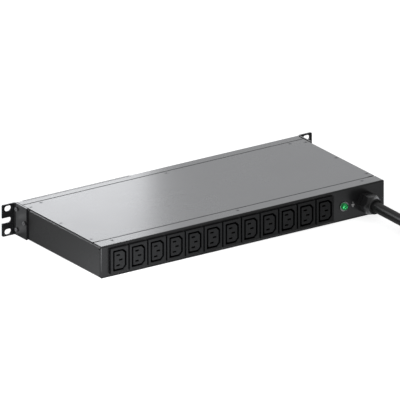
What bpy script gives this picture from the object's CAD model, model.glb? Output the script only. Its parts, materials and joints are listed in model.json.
import json
import math
import bpy
from mathutils import Matrix, Vector
from mathutils.geometry import convex_hull_2d


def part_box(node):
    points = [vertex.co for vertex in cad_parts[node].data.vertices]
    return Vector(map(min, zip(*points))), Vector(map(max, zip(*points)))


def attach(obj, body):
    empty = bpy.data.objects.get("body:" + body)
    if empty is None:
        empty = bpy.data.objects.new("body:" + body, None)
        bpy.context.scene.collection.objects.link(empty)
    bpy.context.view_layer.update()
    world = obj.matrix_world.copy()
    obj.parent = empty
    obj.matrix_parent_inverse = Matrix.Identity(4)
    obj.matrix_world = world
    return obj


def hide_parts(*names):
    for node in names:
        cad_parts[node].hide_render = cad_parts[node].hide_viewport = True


# Rack power distribution unit: looks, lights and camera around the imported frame, in metres.
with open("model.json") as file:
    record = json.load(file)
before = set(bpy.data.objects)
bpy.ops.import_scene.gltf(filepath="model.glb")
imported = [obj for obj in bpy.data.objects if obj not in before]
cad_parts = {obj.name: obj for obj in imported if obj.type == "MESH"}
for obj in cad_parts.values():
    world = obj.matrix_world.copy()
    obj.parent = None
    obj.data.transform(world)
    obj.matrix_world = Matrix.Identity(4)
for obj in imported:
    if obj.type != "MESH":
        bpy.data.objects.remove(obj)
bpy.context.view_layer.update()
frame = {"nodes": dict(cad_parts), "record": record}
nodes = frame["nodes"]
print("frame:", len(nodes), "nodes")


# small tools for mesh work

squarely = 0.9                   # a face is on a side when its normal points there at least this far
smoothAngle = math.radians(35)   # edges flatter than this are shaded smooth


def deselectAll():
    bpy.ops.object.select_all(action="DESELECT")


def pickObject(piece):
    deselectAll()
    piece.select_set(True)
    bpy.context.view_layer.objects.active = piece


def linkObject(name, data):
    thing = bpy.data.objects.new(name, data)
    bpy.context.scene.collection.objects.link(thing)
    return thing


def copyAt(piece, matrix):
    twin = piece.copy()
    twin.data = piece.data.copy()
    bpy.context.scene.collection.objects.link(twin)
    twin.data.transform(matrix)
    return twin


def applyPlace(piece):
    pickObject(piece)
    bpy.ops.object.transform_apply(location=True, rotation=True, scale=True)


def applyModifier(piece, kind, **settings):
    pickObject(piece)
    modifier = piece.modifiers.new(kind.title(), kind)
    for setting, value in settings.items():
        setattr(modifier, setting, value)
    bpy.ops.object.modifier_apply(modifier=modifier.name)


def smoothShade(piece):
    pickObject(piece)
    bpy.ops.object.shade_smooth_by_angle(angle=smoothAngle)


def addBlock(middle, size):
    deselectAll()
    bpy.ops.mesh.primitive_cube_add(size=1.0, location=middle)
    block = bpy.context.object
    block.scale = size
    applyPlace(block)
    return block


def cutShape(piece, cutter, operation="DIFFERENCE"):
    applyModifier(piece, "BOOLEAN", object=cutter, operation=operation, solver="EXACT")
    bpy.data.objects.remove(cutter, do_unlink=True)


def selectFaces(piece, test):
    # in edit mode: only the faces whose middle and normal pass the test are selected
    bpy.ops.mesh.select_all(action="DESELECT")
    bpy.ops.object.mode_set(mode="OBJECT")
    for face in piece.data.polygons:
        face.select = test(face.center, face.normal)
    bpy.ops.object.mode_set(mode="EDIT")


def joinPieces(parts, name):
    deselectAll()
    for part in parts:
        part.select_set(True)
    bpy.context.view_layer.objects.active = parts[0]
    if len(parts) > 1:
        bpy.ops.object.join()
    parts[0].name = name
    parts[0].data.name = name
    return parts[0]


def finishPiece(piece, finishName, replaced=()):
    piece.data.materials.clear()
    piece.data.materials.append(materials[finishName])
    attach(piece, "root")
    if replaced:
        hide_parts(*replaced)


# finishes

grainLook = {
    "fineDetail": 3.0,
    "fineShare": 0.6,      # of the fine grain in the drift of colour and roughness
    "broadScale": 14.0,    # blotches per metre
    "broadDetail": 4.0,
}

finishes = {
    # grain is in grains per metre, bump in mm; drift is of the colour, spread of the roughness
    "painted_steel": {
        "colour": (0.010, 0.0102, 0.0107), "roughness": 0.28, "metallic": 0.0, "ior": 1.42,
        "grain": 1400, "bump": 0.007, "drift": 0.5, "spread": 0.06},
    "black_plastic": {
        "colour": (0.012, 0.012, 0.0125), "roughness": 0.42, "metallic": 0.0, "ior": 1.45,
        "grain": 2200, "bump": 0.012, "drift": 0.4, "spread": 0.06},
    "black_screws": {
        "colour": (0.035, 0.035, 0.037), "roughness": 0.38, "metallic": 1.0, "ior": 1.45,
        "grain": 1800, "bump": 0.004, "drift": 0.5, "spread": 0.1},
    "ear_screw_steel": {
        "colour": (0.17, 0.17, 0.175), "roughness": 0.28, "metallic": 1.0, "ior": 1.45,
        "grain": 1800, "bump": 0.004, "drift": 0.5, "spread": 0.1},
    "zinc_steel": {
        "colour": (0.60, 0.61, 0.63), "roughness": 0.26, "metallic": 1.0, "ior": 1.45,
        "grain": 1200, "bump": 0.003, "drift": 0.3, "spread": 0.12},
    "outlet_plastic": {
        "colour": (0.010, 0.0103, 0.011), "roughness": 0.40, "metallic": 0.0, "ior": 1.38,
        "grain": 2600, "bump": 0.012, "drift": 0.4, "spread": 0.06},
    "brass": {
        "colour": (0.30, 0.20, 0.09), "roughness": 0.42, "metallic": 1.0, "ior": 1.45,
        "grain": 900, "bump": 0.002, "drift": 0.3, "spread": 0.1},
    "tinned_lug": {
        "colour": (0.66, 0.66, 0.64), "roughness": 0.32, "metallic": 1.0, "ior": 1.45,
        "grain": 900, "bump": 0.003, "drift": 0.3, "spread": 0.1},
    "pale_plastic": {
        "colour": (0.66, 0.64, 0.56), "roughness": 0.45, "metallic": 0.0, "ior": 1.45,
        "grain": 1500, "bump": 0.006, "drift": 0.1, "spread": 0.06},
    "brown_insulation": {
        "colour": (0.16, 0.065, 0.03), "roughness": 0.42, "metallic": 0.0, "ior": 1.45,
        "grain": 900, "bump": 0.004, "drift": 0.2, "spread": 0.06},
    "blue_insulation": {
        "colour": (0.035, 0.15, 0.45), "roughness": 0.42, "metallic": 0.0, "ior": 1.45,
        "grain": 900, "bump": 0.004, "drift": 0.2, "spread": 0.06},
    "earth_insulation": {
        "colour": (0.14, 0.42, 0.05), "roughness": 0.42, "metallic": 0.0, "ior": 1.45,
        "grain": 900, "bump": 0.004, "drift": 0.2, "spread": 0.06},
    "green_screw": {
        "colour": (0.04, 0.42, 0.125), "roughness": 0.2, "metallic": 0.85, "ior": 1.5,
        "grain": 900, "bump": 0.003, "drift": 0.3, "spread": 0.08},
    "gland_nylon": {
        "colour": (0.011, 0.011, 0.0115), "roughness": 0.33, "metallic": 0.0, "ior": 1.45,
        "grain": 1700, "bump": 0.008, "drift": 0.4, "spread": 0.08},
    "black_rubber": {
        "colour": (0.03, 0.03, 0.03), "roughness": 0.55, "metallic": 0.0, "ior": 1.4,
        "grain": 1500, "bump": 0.01, "drift": 0.4, "spread": 0.08},
    "cable_jacket": {
        "colour": (0.012, 0.012, 0.0125), "roughness": 0.38, "metallic": 0.0, "ior": 1.38,
        "grain": 1100, "bump": 0.014, "drift": 0.4, "spread": 0.1},
    "plug_grey": {
        "colour": (0.19, 0.195, 0.2), "roughness": 0.44, "metallic": 0.0, "ior": 1.45,
        "grain": 1800, "bump": 0.012, "drift": 0.15, "spread": 0.06},
    "plug_blue": {
        "colour": (0.02, 0.115, 0.38), "roughness": 0.42, "metallic": 0.0, "ior": 1.45,
        "grain": 1800, "bump": 0.012, "drift": 0.2, "spread": 0.06},
    "grey_print": {
        "colour": (0.62, 0.62, 0.62), "roughness": 0.5, "metallic": 0.0, "ior": 1.45,
        "grain": 2500, "bump": 0.004, "drift": 0.2, "spread": 0.1},
}

outletShade = {
    "start": 0.001,        # behind the outlets' faces
    "end": 0.0035,
    "colourLeft": {"outlet_plastic": 0.12, "brass": 0.15},
}


def newGroup(name, inputs, outputs):
    group = bpy.data.node_groups.new(name, "ShaderNodeTree")
    for label, kind, value in inputs:
        socket = group.interface.new_socket(label, in_out="INPUT", socket_type=kind)
        socket.default_value = value
    for label, kind in outputs:
        group.interface.new_socket(label, in_out="OUTPUT", socket_type=kind)
    start = group.nodes.new("NodeGroupInput")
    end = group.nodes.new("NodeGroupOutput")
    return group, start, end


def mathNode(tree, operation, *values):
    node = tree.nodes.new("ShaderNodeMath")
    node.operation = operation
    for index, value in enumerate(values):
        if isinstance(value, bpy.types.NodeSocket):
            tree.links.new(value, node.inputs[index])
        else:
            node.inputs[index].default_value = value
    return node.outputs[0]


def scaleColour(tree, colour, factor):
    tint = tree.nodes.new("ShaderNodeVectorMath")
    tint.operation = "SCALE"
    tree.links.new(colour, tint.inputs[0])
    tree.links.new(factor, tint.inputs["Scale"])
    return tint.outputs["Vector"]


def noiseNode(tree, place, detail):
    noise = tree.nodes.new("ShaderNodeTexNoise")
    noise.inputs["Detail"].default_value = detail
    tree.links.new(place.outputs["Object"], noise.inputs["Vector"])
    return noise


def grainGroup():
    # a fine grain for the height, and a broad drift of colour and roughness
    group, start, end = newGroup(
        "fineGrain",
        [("Colour", "NodeSocketColor", (0.1, 0.1, 0.1, 1)), ("Drift", "NodeSocketFloat", 0.1),
         ("Roughness", "NodeSocketFloat", 0.4), ("Spread", "NodeSocketFloat", 0.05),
         ("Grain per metre", "NodeSocketFloat", 1500.0)],
        [("Colour", "NodeSocketColor"), ("Roughness", "NodeSocketFloat"), ("Height", "NodeSocketFloat")])
    links = group.links
    place = group.nodes.new("ShaderNodeTexCoord")
    grain = noiseNode(group, place, grainLook["fineDetail"])
    links.new(start.outputs["Grain per metre"], grain.inputs["Scale"])
    broad = noiseNode(group, place, grainLook["broadDetail"])
    broad.inputs["Scale"].default_value = grainLook["broadScale"]

    # both noises are centred on zero before they are mixed
    broadDrift = mathNode(group, "SUBTRACT", broad.outputs["Fac"], 0.5)
    fineDrift = mathNode(group, "SUBTRACT", grain.outputs["Fac"], 0.5)
    fineDrift = mathNode(group, "MULTIPLY", fineDrift, grainLook["fineShare"])
    mixed = mathNode(group, "ADD", broadDrift, fineDrift)
    change = mathNode(group, "MULTIPLY_ADD", mixed, start.outputs["Drift"], 1.0)
    rough = mathNode(group, "MULTIPLY_ADD", mixed, start.outputs["Spread"], start.outputs["Roughness"])
    links.new(scaleColour(group, start.outputs["Colour"], change), end.inputs["Colour"])
    links.new(rough, end.inputs["Roughness"])
    links.new(grain.outputs["Fac"], end.inputs["Height"])
    return group


def depthGroup():
    # along Y the inside mask rises from nought to one, and the shade falls from one to the given share
    group, start, end = newGroup(
        "depthShade",
        [("From", "NodeSocketFloat", 0.0), ("To", "NodeSocketFloat", 0.0),
         ("Share", "NodeSocketFloat", 0.2)],
        [("Shade", "NodeSocketFloat"), ("Inside", "NodeSocketFloat")])
    links = group.links
    place = group.nodes.new("ShaderNodeTexCoord")
    split = group.nodes.new("ShaderNodeSeparateXYZ")
    links.new(place.outputs["Object"], split.inputs[0])
    ramp = group.nodes.new("ShaderNodeMapRange")
    links.new(split.outputs["Y"], ramp.inputs["Value"])
    links.new(start.outputs["From"], ramp.inputs["From Min"])
    links.new(start.outputs["To"], ramp.inputs["From Max"])
    lost = mathNode(group, "SUBTRACT", 1.0, start.outputs["Share"])
    shade = mathNode(group, "SUBTRACT", 1.0, mathNode(group, "MULTIPLY", ramp.outputs["Result"], lost))
    links.new(shade, end.inputs["Shade"])
    links.new(ramp.outputs["Result"], end.inputs["Inside"])
    return group


fineGrain = grainGroup()
depthShade = depthGroup()


def makeMaterial(name, look):
    material = bpy.data.materials.new(name)
    material.use_nodes = True
    tree = material.node_tree
    shader = tree.nodes["Principled BSDF"]
    shader.inputs["Metallic"].default_value = look["metallic"]
    shader.inputs["IOR"].default_value = look["ior"]
    grain = tree.nodes.new("ShaderNodeGroup")
    grain.node_tree = fineGrain
    grain.inputs["Colour"].default_value = (*look["colour"], 1.0)
    grain.inputs["Drift"].default_value = look["drift"]
    grain.inputs["Roughness"].default_value = look["roughness"]
    grain.inputs["Spread"].default_value = look["spread"]
    grain.inputs["Grain per metre"].default_value = look["grain"]
    bump = tree.nodes.new("ShaderNodeBump")
    bump.inputs["Strength"].default_value = 1.0
    bump.inputs["Distance"].default_value = look["bump"] / 1000
    tree.links.new(grain.outputs["Colour"], shader.inputs["Base Color"])
    tree.links.new(grain.outputs["Roughness"], shader.inputs["Roughness"])
    tree.links.new(grain.outputs["Height"], bump.inputs["Height"])
    tree.links.new(bump.outputs["Normal"], shader.inputs["Normal"])
    return material


def darkenInside(material, colourLeft):
    # inside the outlets the colour fades, and as a black metal the plastic loses its shine there too
    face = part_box("outlet_01")[0].y
    tree = material.node_tree
    shader = tree.nodes["Principled BSDF"]
    depth = tree.nodes.new("ShaderNodeGroup")
    depth.node_tree = depthShade
    depth.inputs["From"].default_value = face + outletShade["start"]
    depth.inputs["To"].default_value = face + outletShade["end"]
    depth.inputs["Share"].default_value = colourLeft
    colour = shader.inputs["Base Color"].links[0].from_socket
    tree.links.new(scaleColour(tree, colour, depth.outputs["Shade"]), shader.inputs["Base Color"])
    if shader.inputs["Metallic"].default_value == 0.0:
        tree.links.new(depth.outputs["Inside"], shader.inputs["Metallic"])


materials = {name: makeMaterial(name, look) for name, look in finishes.items()}
for name, colourLeft in outletShade["colourLeft"].items():
    darkenInside(materials[name], colourLeft)
for part in frame["record"]["subparts"]:
    node = nodes[part["node"]]
    node.data.materials.clear()
    node.data.materials.append(materials[part["material_slot"]])
print("finishes:", len(materials))


# screws: one of each kind is modelled along +Z, then copied to its places

screwKinds = {
    # metres, and radians for the turns: shank and head are radii, land is the height of a raised head,
    # cone the depth of a flush one
    "flush": {
        "shank": 0.0015, "length": 0.0032, "head": 0.0025, "land": 0.0, "rounding": 0.0, "cone": 0.001,
        "crossSpan": 0.0029, "crossSlot": 0.00065, "crossDepth": 0.0009, "firstTurn": 0.2, "nextTurn": 0.7},
    "pan": {
        "shank": 0.0015, "length": 0.006, "head": 0.0028, "land": 0.0020, "rounding": 0.0011, "cone": 0.0,
        "crossSpan": 0.0031, "crossSlot": 0.0007, "crossDepth": 0.0012, "firstTurn": 0.3, "nextTurn": 0.9},
    "earth": {
        "shank": 0.0025, "length": 0.013, "head": 0.0048, "land": 0.0032, "rounding": 0.0017, "cone": 0.0,
        "crossSpan": 0.0056, "crossSlot": 0.0011, "crossDepth": 0.0019, "firstTurn": 0.35, "nextTurn": 0.0},
}
screwDetail = {
    "sides": 32,
    "roundingSteps": 6,
    "tipShare": 0.25,       # of the shank's radius, bevelled off its end
    "crossTaper": 0.5,      # how much of the recess's width is left at its bottom
    "cutterRise": 0.0002,   # of the cutter above the head
}


def makeCrossCutter(kind):
    # two crossed bars that taper towards the bottom of the recess
    top = kind["land"] + screwDetail["cutterRise"]
    bottom = kind["land"] - kind["crossDepth"]
    taper = screwDetail["crossTaper"]
    bars = []
    for size in ((kind["crossSpan"], kind["crossSlot"]), (kind["crossSlot"], kind["crossSpan"])):
        bar = addBlock((0, 0, (top + bottom) / 2), (*size, top - bottom))
        bpy.ops.object.mode_set(mode="EDIT")
        selectFaces(bar, lambda middle, normal: normal.z < -squarely)
        bpy.ops.transform.resize(value=(taper, taper, 1.0))
        bpy.ops.object.mode_set(mode="OBJECT")
        bars.append(bar)
    cutShape(bars[0], bars[1], "UNION")
    return bars[0]


def makeScrew(kind):
    # the seat is at z 0 for a raised head, the top is at z 0 for a flush one
    deselectAll()
    bpy.ops.mesh.primitive_cylinder_add(
        vertices=screwDetail["sides"], radius=kind["shank"], depth=kind["length"],
        location=(0, 0, -kind["cone"] - kind["length"] / 2))
    screw = bpy.context.object
    applyPlace(screw)
    widen = kind["head"] / kind["shank"]
    bpy.ops.object.mode_set(mode="EDIT")

    # the head
    selectFaces(screw, lambda middle, normal: normal.z > squarely)
    bpy.ops.mesh.extrude_region_move(TRANSFORM_OT_translate={"value": (0, 0, kind["cone"])})
    bpy.ops.transform.resize(value=(widen, widen, 1.0))
    if kind["land"]:
        bpy.ops.mesh.extrude_region_move(TRANSFORM_OT_translate={"value": (0, 0, kind["land"])})
        bpy.ops.mesh.region_to_loop()
        bpy.ops.mesh.bevel(offset=kind["rounding"], segments=screwDetail["roundingSteps"], profile=0.5,
                           affect="EDGES")

    # the shank's end
    selectFaces(screw, lambda middle, normal: normal.z < -squarely and middle.z < -kind["length"] / 2)
    bpy.ops.mesh.region_to_loop()
    bpy.ops.mesh.bevel(offset=kind["shank"] * screwDetail["tipShare"], segments=1, affect="EDGES")
    bpy.ops.object.mode_set(mode="OBJECT")
    cutShape(screw, makeCrossCutter(kind))
    smoothShade(screw)
    return screw


def placeScrews(name, kindName, seats, lay, finishName, replaced):
    # one copy on each seat, each turned a little further, joined as the node's own group
    kind = screwKinds[kindName]
    pattern = makeScrew(kind)
    copies = []
    for i, seat in enumerate(seats):
        turn = Matrix.Rotation(kind["nextTurn"] * i + kind["firstTurn"], 4, "Z")
        copies.append(copyAt(pattern, Matrix.Translation(seat) @ lay @ turn))
    bpy.data.objects.remove(pattern, do_unlink=True)
    finishPiece(joinPieces(copies, name), finishName, (replaced,))


def makeCoverScrews(row):
    low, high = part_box("cover_screws_" + row)
    middle = (low + high) / 2
    radius = screwKinds["flush"]["head"]
    if row in ("front", "rear"):
        seats = [(x, middle.y, high.z) for x in (low.x + radius, middle.x, high.x - radius)]
    else:
        seats = [(middle.x, y, high.z) for y in (low.y + radius, middle.y, high.y - radius)]
    placeScrews("coverScrews" + row.title(), "flush", seats, Matrix.Identity(4), "black_screws",
                "cover_screws_" + row)


def makeEarScrews(side, sign):
    # two at the front corners, one behind them at mid height
    low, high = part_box("ear_screws_" + side)
    kind = screwKinds["pan"]
    radius = kind["head"]
    x = high.x - kind["land"] if sign > 0 else low.x + kind["land"]
    seats = [(x, high.y - radius, low.z + radius), (x, high.y - radius, high.z - radius),
             (x, low.y + radius, (low.z + high.z) / 2)]
    lay = Matrix.Rotation(sign * math.pi / 2, 4, "Y")
    placeScrews("earScrews" + side.title(), "pan", seats, lay, "ear_screw_steel",
                "ear_screws_" + side)


def makeEarthScrew():
    low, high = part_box("ground_screw")
    seat = ((low.x + high.x) / 2, low.y + screwKinds["earth"]["land"], (low.z + high.z) / 2)
    lay = Matrix.Rotation(math.pi / 2, 4, "X")
    placeScrews("earthScrew", "earth", [seat], lay, "green_screw", "ground_screw")


for row in ("front", "rear", "left", "right"):
    makeCoverScrews(row)
makeEarScrews("right", 1)
makeEarScrews("left", -1)
makeEarthScrew()
print("screws: flush in the cover, pan headed on the ears, one for earthing")


# the earth sign printed on the panel beside its screw

earthSign = {
    "fromScrew": 0.0142,                # between the middles of screw and sign, towards the gland
    "drop": 0.0004,                     # of the widest bar under the screw's middle
    "bars": (0.0050, 0.0034, 0.0018),   # widths, from the top down
    "barHeight": 0.0010,
    "barPitch": 0.0015,
    "stemWidth": 0.0005,
    "stemHeight": 0.0034,
    "thickness": 0.00004,
    "edgeShare": 1 / 3,                 # of the thickness
}


def addPrintBar(middle, width, height):
    bar = addBlock(middle, (width, earthSign["thickness"], height))
    applyModifier(bar, "BEVEL", width=earthSign["thickness"] * earthSign["edgeShare"], segments=1)
    return bar


def makeEarthSign():
    low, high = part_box("ground_screw")
    x = (low.x + high.x) / 2 + earthSign["fromScrew"]
    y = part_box("rear_panel")[0].y - earthSign["thickness"] / 2
    z = (low.z + high.z) / 2 - earthSign["drop"]
    height = earthSign["barHeight"]
    stem = earthSign["stemHeight"]
    bars = [addPrintBar((x, y, z + height / 2 + stem / 2), earthSign["stemWidth"], stem)]
    for i, width in enumerate(earthSign["bars"]):
        bars.append(addPrintBar((x, y, z - i * earthSign["barPitch"]), width, height))
    finishPiece(joinPieces(bars, "earthSign"), "grey_print")


makeEarthSign()
print("earth sign: a stem and", len(earthSign["bars"]), "bars")


# supply cable: out of the gland, then coiled for storage beside the unit, then the plug

cordSizes = {
    "diameter": 0.0144,
    "exit": (0.190, -0.0875, 0.02003),
    "lead": [(0.190, -0.0665, 0.02003), (0.190, -0.134, 0.02003), (0.1902, -0.178, 0.01923)],
    "coilCentre": (0.278, -0.224),
    "outerTurn": 0.0872,
    "innerTurn": 0.0728,
    "layers": (0.0072, 0.0216, 0.0360),
    "turns": 4.5,
    "pointsATurn": 24,
    # the turns at which the cord starts to change its layer or its side, each time over shiftTurns
    "goesUp": 0.395,
    "goesIn": 1.16,
    "goesDown": (1.90, 2.73),
    "goesOut": 3.56,
    "shiftTurns": 0.16,
    "tail": [(0.3652, -0.186, 0.0072), (0.3652, -0.14986, 0.01344), (0.3652, -0.09819, 0.01925)],
    "roundness": 7,
    "splineOrder": 3,
    "splineSteps": 5,
}


def shifted(turn, start):
    # from 0 to 1 over the stretch of cord that starts at the given turn
    t = min(1.0, max(0.0, (turn - start) / cordSizes["shiftTurns"]))
    return t * t * (3 - 2 * t)


def coilPoint(turn):
    # in on the middle layer, up, inwards, down two layers, then out along the bottom: no turn meets another
    middle, high = cordSizes["layers"][1:]
    dropped = sum(shifted(turn, start) for start in cordSizes["goesDown"])
    z = middle + (high - middle) * (shifted(turn, cordSizes["goesUp"]) - dropped)
    inwards = shifted(turn, cordSizes["goesIn"]) - shifted(turn, cordSizes["goesOut"])
    radius = cordSizes["outerTurn"] - (cordSizes["outerTurn"] - cordSizes["innerTurn"]) * inwards
    # a spline of this order runs a little inside its points
    radius /= math.cos(math.pi / cordSizes["pointsATurn"])
    angle = math.pi + 2 * math.pi * turn
    x, y = cordSizes["coilCentre"]
    return (x + radius * math.cos(angle), y + radius * math.sin(angle), z)


def makeCord():
    count = int(cordSizes["turns"] * cordSizes["pointsATurn"])
    coil = [coilPoint(i / cordSizes["pointsATurn"]) for i in range(count + 1)]
    points = cordSizes["lead"] + coil + cordSizes["tail"]
    curve = bpy.data.curves.new("supplyCord", "CURVE")
    curve.dimensions = "3D"
    curve.bevel_depth = cordSizes["diameter"] / 2
    curve.bevel_resolution = cordSizes["roundness"]
    curve.use_fill_caps = True
    spline = curve.splines.new("NURBS")
    spline.points.add(len(points) - 1)
    for point, place in zip(spline.points, points):
        point.co = (*place, 1.0)
    spline.order_u = cordSizes["splineOrder"]
    spline.use_endpoint_u = True
    spline.resolution_u = cordSizes["splineSteps"]
    runs = [(Vector(a) - Vector(b)).length for a, b in zip(points, points[1:])]
    print("cord:", len(points), "points, whose runs add up to", round(sum(runs), 3))
    return linkObject("supplyCord", curve)


cord = makeCord()
finishPiece(cord, "cable_jacket", ("supply_cable", "cable_coil", "cable_tail"))


# nylon ties, each drawn tight round the turns that pass it

coilTies = {
    "angles": (80.0, 215.0, 320.0),
    "width": 0.005,
    "thickness": 0.0012,
    "arcPoints": 24,                       # round each turn of the cord
    "edge": 0.0003,
    "edgeSteps": 2,
    "bandEdges": math.radians(60),         # sharper edges than this are rounded
    "headEdges": math.radians(40),
    "headSize": (0.0046, 0.0062, 0.0080),  # outwards, along the cord, upwards
    "headTaper": (0.75, 0.8),              # upwards, along the cord
    "slotRim": 0.0009,
    "slotDepth": 0.0006,
}


def tieOutline(angle):
    # in the plane that cuts the coil at this angle: distance from the coil's middle, height
    reach = cordSizes["diameter"] / 2 + coilTies["thickness"] / 2
    centre = Vector((*cordSizes["coilCentre"], 0))
    inside = math.cos(math.pi / cordSizes["pointsATurn"])
    points = []
    turn = (angle / 360 - 0.5) % 1.0
    while turn <= cordSizes["turns"]:
        place = Vector(coilPoint(turn)) - centre
        radius = math.hypot(place.x, place.y) * inside
        for i in range(coilTies["arcPoints"]):
            a = 2 * math.pi * i / coilTies["arcPoints"]
            height = max(place.z + reach * math.sin(a), coilTies["thickness"] / 2)
            points.append(Vector((radius + reach * math.cos(a), height)))
        turn += 1.0
    return [points[i] for i in convex_hull_2d(points)]


def roundEdges(piece, sharpness):
    applyModifier(piece, "BEVEL", width=coilTies["edge"], segments=coilTies["edgeSteps"],
                  limit_method="ANGLE", angle_limit=sharpness)


def makeBand(outline):
    curve = bpy.data.curves.new("band", "CURVE")
    curve.dimensions = "2D"
    curve.fill_mode = "NONE"
    curve.extrude = coilTies["width"] / 2
    spline = curve.splines.new("POLY")
    spline.points.add(len(outline) - 1)
    for point, place in zip(spline.points, outline):
        point.co = (place.x, place.y, 0.0, 1.0)
    spline.use_cyclic_u = True
    pickObject(linkObject("band", curve))
    bpy.ops.object.convert(target="MESH")
    band = bpy.context.object
    applyModifier(band, "SOLIDIFY", thickness=coilTies["thickness"], offset=0.0)
    roundEdges(band, coilTies["bandEdges"])
    return band


def makeTieHead(farthest):
    # on the outside of the coil, between its two lower layers, with a slot for the band in its top
    out, along, up = coilTies["headSize"]
    lowest, second = cordSizes["layers"][:2]
    head = addBlock((farthest + out / 2, (lowest + second) / 2, 0.0), (out, up, along))
    bpy.ops.object.mode_set(mode="EDIT")
    selectFaces(head, lambda middle, normal: normal.x > squarely)
    bpy.ops.transform.resize(value=(1.0, *coilTies["headTaper"]))
    selectFaces(head, lambda middle, normal: normal.y > squarely)
    bpy.ops.mesh.inset(thickness=coilTies["slotRim"])
    bpy.ops.mesh.extrude_region_move(TRANSFORM_OT_translate={"value": (0, -coilTies["slotDepth"], 0)})
    bpy.ops.object.mode_set(mode="OBJECT")
    roundEdges(head, coilTies["headEdges"])
    return head


def makeTie(angle):
    # drawn in the X, Y plane as distance and height, then stood up at its angle
    outline = tieOutline(angle)
    head = makeTieHead(max(point.x for point in outline))
    tie = joinPieces([makeBand(outline), head], "tie")
    a = math.radians(angle)
    turn = Matrix(((math.cos(a), 0, math.sin(a)), (math.sin(a), 0, -math.cos(a)), (0, 1, 0))).to_4x4()
    turn.translation = Vector((*cordSizes["coilCentre"], 0))
    tie.data.transform(turn)
    return tie


ties = joinPieces([makeTie(angle) for angle in coilTies["angles"]], "coilTies")
smoothShade(ties)
finishPiece(ties, "gland_nylon", ("coil_ties",))
print("ties:", len(coilTies["angles"]))


# camera

view = {
    "azimuth": -33.99,
    "elevation": 20.64,
    "lens": 1725.0,        # in mm, long: the photograph is almost without perspective
    "sensor": 36.0,
    "frameWidth": 0.5167,  # what the frame takes in at the unit
    "aim": (0.01448, 0.03357, 0.02095),
    "clipStart": 1.0,
    "clipEnd": 3.0,        # times the distance
}


def viewDirection(azimuth, elevation):
    a, e = math.radians(azimuth), math.radians(elevation)
    return Vector((math.sin(a) * math.cos(e), -math.cos(a) * math.cos(e), math.sin(e)))


def makeCamera():
    camera = linkObject("camera", bpy.data.cameras.new("camera"))
    camera.data.sensor_width = view["sensor"]
    camera.data.lens = view["lens"]
    distance = view["frameWidth"] * view["lens"] / view["sensor"]
    back = viewDirection(view["azimuth"], view["elevation"])
    camera.location = Vector(view["aim"]) + back * distance
    camera.rotation_mode = "QUATERNION"
    camera.rotation_quaternion = (-back).to_track_quat("-Z", "Y")
    camera.data.clip_start = view["clipStart"]
    camera.data.clip_end = view["clipEnd"] * distance
    bpy.context.scene.camera = camera


makeCamera()
print("camera")


# floor and sky

studio = {
    "floorSize": 16.0,
    "floorColour": (0.8, 0.8, 0.8, 1.0),
    "floorGlow": 0.75,     # what the camera alone sees on top of the floor's own light
    "white": (1.0, 1.0, 1.0, 1.0),
    "skyStrength": 0.48,
    "skySeen": 1.0,        # what the camera alone sees beyond the floor
}


def cameraOnly(tree, otherwise, seen):
    # one value for what the camera sees, another for what the light does
    rays = tree.nodes.new("ShaderNodeLightPath")
    return mathNode(tree, "MULTIPLY_ADD", rays.outputs["Is Camera Ray"], seen - otherwise, otherwise)


def makeFloor():
    deselectAll()
    bpy.ops.mesh.primitive_plane_add(size=studio["floorSize"], location=(0, 0, 0))
    floor = bpy.context.object
    floor.name = "studioFloor"
    material = bpy.data.materials.new("studioFloor")
    material.use_nodes = True
    tree = material.node_tree
    shader = tree.nodes["Principled BSDF"]
    shader.inputs["Base Color"].default_value = studio["floorColour"]
    shader.inputs["Roughness"].default_value = 1.0
    shader.inputs["Specular IOR Level"].default_value = 0.0
    shader.inputs["Emission Color"].default_value = studio["white"]
    tree.links.new(cameraOnly(tree, 0.0, studio["floorGlow"]), shader.inputs["Emission Strength"])
    floor.data.materials.append(material)


def makeSky():
    world = bpy.data.worlds.new("studioSky")
    bpy.context.scene.world = world
    world.use_nodes = True
    tree = world.node_tree
    sky = tree.nodes["Background"]
    sky.inputs["Color"].default_value = studio["white"]
    tree.links.new(cameraOnly(tree, studio["skyStrength"], studio["skySeen"]), sky.inputs["Strength"])


makeFloor()
makeSky()
print("floor and sky")


# cards: flat lights that the satin black unit mirrors; brightness is a card's radiance

cardTint = (0.985, 1.0, 1.03)


def makeCard(name, middle, target, width, height, brightness, seenBy="glossy"):
    # only one kind of ray, glossy or diffuse, meets the card
    light = bpy.data.lights.new(name, "AREA")
    light.shape = "RECTANGLE"
    light.size = width
    light.size_y = height
    light.energy = brightness * math.pi * width * height
    light.color = cardTint
    card = linkObject(name, light)
    card.location = middle
    card.rotation_mode = "QUATERNION"
    card.rotation_quaternion = (Vector(target) - Vector(middle)).to_track_quat("-Z", "Y")
    card.visible_camera = False
    card.visible_diffuse = seenBy == "diffuse"
    card.visible_glossy = seenBy == "glossy"
    return card


def linkLight(card, pieces, state="INCLUDE"):
    # the card lights these pieces alone, or with EXCLUDE all but these
    receivers = bpy.data.collections.new(card.name + "Receivers")
    for piece in pieces:
        receivers.objects.link(piece)
    for entry in receivers.collection_objects:
        entry.light_linking.link_state = state
    card.light_linking.receiver_collection = receivers


def findPieces(names):
    # CAD nodes by their names in the record, new pieces by their own
    return [nodes.get(name) or bpy.data.objects[name] for name in names]


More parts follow.
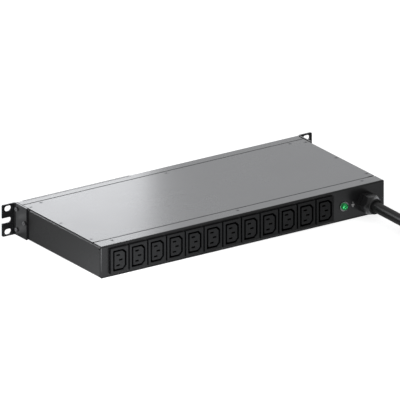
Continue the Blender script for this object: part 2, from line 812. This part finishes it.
# cards that stand behind the unit: left of the split the lid is bright, right of it grey, and the far one
# lights the left side, the gland and the streak along the cable
backCards = {
    "behind": 0.45,        # the unit
    "lift": 0.005,         # over the floor
    "leftEdge": -0.7,      # this and the other edges are measured across the view, from its middle
    "split": -0.066,
    "farLights": ("supplyCord", "base_tray", "gland_body", "gland_nut", "gland_seal"),
}
lidCards = {
    "leftCard": {
        "from": backCards["leftEdge"], "to": backCards["split"], "height": 0.36, "brightness": 4.7},
    "lowLeftCard": {
        "from": backCards["leftEdge"], "to": backCards["split"], "height": 0.22, "brightness": 0.8},
    "rightCard": {
        "from": backCards["split"], "to": 0.7, "height": 0.6, "brightness": 1.44},
}
farCard = {"from": -1.3, "to": backCards["leftEdge"], "height": 0.7, "brightness": 10.0}


def makeBackCard(name, place):
    turn = math.radians(view["azimuth"])
    across = Vector((math.cos(turn), math.sin(turn), 0))
    away = -viewDirection(view["azimuth"], 0)
    middle = Vector(view["aim"]) + away * backCards["behind"] + across * (place["from"] + place["to"]) / 2
    middle.z = place["height"] / 2 + backCards["lift"]
    return makeCard(name, middle, middle - away, place["to"] - place["from"], place["height"],
                    place["brightness"])


linkLight(makeBackCard("farCard", farCard), findPieces(backCards["farLights"]))

# the lid's cards leave the cord and the outlets dark
darkPieces = [cord] + [node for name, node in nodes.items() if name.startswith("outlet_")]
for name, place in lidCards.items():
    linkLight(makeBackCard(name, place), darkPieces, "EXCLUDE")

# a soft light that brightens the floor which the panel's left end and the left side mirror
pool = {"place": (-0.27, -0.22, 0.2), "target": (-0.23, -0.11, 0.0), "size": 0.14, "brightness": 13.0}
makeCard("leftPool", pool["place"], pool["target"], pool["size"], pool["size"], pool["brightness"],
         seenBy="diffuse")

# small cards that only short stretches of the unit mirror
smallCards = {
    # the panel's right end, instead of the floor that the coil shades
    "floorCard": {"middle": (0.255, -0.185, 0.0006), "facing": (0, 0, 1), "width": 0.25, "height": 0.19,
                  "brightness": 0.6, "lights": ("rear_panel", "gland_nut", "gland_body")},
    # the panel's lower edge under the right half of the outlets
    "edgeCard": {"middle": (0.05, -0.098, 0.0006), "facing": (0, 0, 1), "width": 0.18, "height": 0.018,
                 "brightness": 0.5, "lights": ("rear_panel",)},
    # the rounded rear corner on the left
    "cornerCard": {"middle": (-0.287, -0.16, 0.0006), "facing": (0, 0, 1), "width": 0.1, "height": 0.1,
                   "brightness": 7.0, "lights": ("rear_panel",)},
    # the front chamfer of the gland's nut, and the earthing screw's head
    "glandCard": {"middle": (0.158, -0.165, 0.0006), "facing": (0, 0, 1), "width": 0.06, "height": 0.07,
                  "brightness": 3.6, "lights": ("gland_nut", "gland_body", "earthScrew")},
    # the side of the left ear, instead of the ear's own dark plate
    "earCard": {"middle": (-0.2318, 0.1088, 0.0218), "facing": (0, -1, 0), "width": 0.018, "height": 0.043,
                "brightness": 0.8, "lights": ("rack_ear_left", "earScrewsLeft")},
}
for name, place in smallCards.items():
    middle = Vector(place["middle"])
    target = middle + Vector(place["facing"])
    card = makeCard(name, middle, target, place["width"], place["height"], place["brightness"])
    linkLight(card, findPieces(place["lights"]))

# the panel doesn't mirror the put-away coil
cord.visible_glossy = False
bpy.context.scene.view_settings.view_transform = "Standard"
print("cards:", 1 + len(lidCards) + len(smallCards), "and a soft light on the left")
